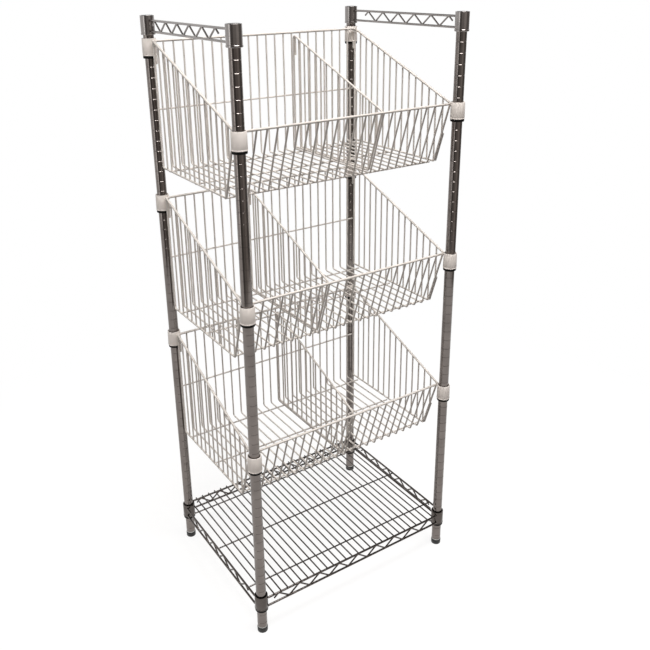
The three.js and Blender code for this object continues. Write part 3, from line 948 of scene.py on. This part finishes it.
def studio_world():
    """White backdrop; as light on the rack it is brighter above and behind, dim and warm in front."""
    world = bpy.data.worlds.new("studio")
    bpy.context.scene.world = world
    world.use_nodes = True
    tree = world.node_tree
    tree.nodes.clear()
    direction = tree.nodes.new("ShaderNodeTexCoord").outputs["Generated"]
    split = add_node(tree, "ShaderNodeSeparateXYZ", Vector=direction)
    upward = add_node(
        tree,
        "ShaderNodeMapRange",
        Value=split.outputs["Z"],
        From_Min=ROOM_TOP_FROM,
        From_Max=ROOM_TOP_TO,
    )
    behind = add_node(
        tree,
        "ShaderNodeMapRange",
        Value=split.outputs["Y"],
        From_Min=ROOM_BACK_FROM,
        From_Max=ROOM_BACK_TO,
    )
    level = tinted(tree, behind.outputs["Result"], ROOM_FRONT, ROOM_BACK)
    tone = tinted(tree, upward.outputs["Result"], level, ROOM_TOP)
    room = add_node(tree, "ShaderNodeBackground", Color=tone, Strength=1.0)
    white = add_node(tree, "ShaderNodeBackground", Color=WHITE, Strength=1.0)
    both = shader_between(tree, white_to_camera(tree), room.outputs[0], white.outputs[0])
    add_node(tree, "ShaderNodeOutputWorld", Surface=both)


def card(name, points, faces, tone):
    """A dim card of the set: seen in mirrored rays, not by the camera, and casting no shadow."""
    finish, tree = bare_finish(name)
    colour = tuple(tone * tint for tint in CARD_TINT)
    glow = add_node(tree, "ShaderNodeEmission", Color=(*colour, 1), Strength=1.0)
    add_node(tree, "ShaderNodeOutputMaterial", Surface=glow.outputs[0])
    made = stage_piece(name, points, faces, finish)
    made.visible_camera = made.visible_diffuse = made.visible_shadow = False


def dim_cards():
    """Upright cards on a circle, (R sin a, -R cos a, z), and a flat one for the ceiling."""
    for number, (start, end, tone) in enumerate(CARDS):
        angles = CAMERA_AZIMUTH + np.radians(np.linspace(start, end, CARD_STEPS))
        points = np.empty((CARD_STEPS, 2, 3))
        points[..., 0] = CARD_RADIUS * np.sin(angles)[:, None]
        points[..., 1] = -CARD_RADIUS * np.cos(angles)[:, None]
        points[..., 2] = [0, CARD_HEIGHT]
        faces = grid_quads(CARD_STEPS, 2, False, False).tolist()
        card(f"upright card {number}", points.reshape(-1, 3), faces, tone)
    card("ceiling card", *level_square(CEILING_SIZE, CEILING_HEIGHT), CEILING_TONE)


def area_light(name, place, size, watts, mirrored):
    """Rectangular lamp that faces the middle of the rack."""
    lamp = bpy.data.lights.new(name, "AREA")
    lamp.shape = "RECTANGLE"
    lamp.size, lamp.size_y = size
    lamp.energy = watts
    made = bpy.data.objects.new(name, lamp)
    made.visible_glossy = mirrored
    bpy.context.scene.collection.objects.link(made)
    back = unit(np.array(place, float) - np.array(LIGHT_AIM, float))
    side = unit(np.cross(Y_AXIS if abs(back[2]) > 0.9 else Z_AXIS, back))
    up = np.cross(back, side)
    turn = np.eye(4)
    turn[:3, 0], turn[:3, 1], turn[:3, 2], turn[:3, 3] = side, up, back, place
    made.matrix_world = Matrix(turn.tolist())


def photo_camera():
    """The photograph's view: looking back along (sin a cos e, -cos a cos e, sin e), with a roll."""
    data = bpy.data.cameras.new("camera")
    data.sensor_width = SENSOR_WIDTH
    data.lens = FOCAL_PIXELS / IMAGE_WIDTH * SENSOR_WIDTH
    data.shift_x = 0.5 - PRINCIPAL_POINT[0] / IMAGE_WIDTH
    data.shift_y = PRINCIPAL_POINT[1] / IMAGE_WIDTH - 0.5
    camera = bpy.data.objects.new("camera", data)
    bpy.context.scene.collection.objects.link(camera)
    back = np.array([
        math.sin(CAMERA_AZIMUTH) * math.cos(CAMERA_ELEVATION),
        -math.cos(CAMERA_AZIMUTH) * math.cos(CAMERA_ELEVATION),
        math.sin(CAMERA_ELEVATION),
    ])
    right = unit(np.cross(-back, Z_AXIS))
    up = np.cross(right, -back)
    roll_cos, roll_sin = math.cos(CAMERA_ROLL), math.sin(CAMERA_ROLL)
    place = np.eye(4)
    place[:3, 0] = right * roll_cos + up * roll_sin
    place[:3, 1] = up * roll_cos - right * roll_sin
    place[:3, 2] = back
    place[:3, 3] = CAMERA_PLACE
    camera.matrix_world = Matrix(place.tolist())
    bpy.context.scene.camera = camera


dress_posts()
dress_shelf()
for basket_name in BASKETS:
    dress_basket(basket_name)

lit_floor()
studio_world()
dim_cards()
for lamp_values in LAMPS:
    area_light(*lamp_values)
photo_camera()
bpy.context.scene.view_settings.view_transform = "Standard"
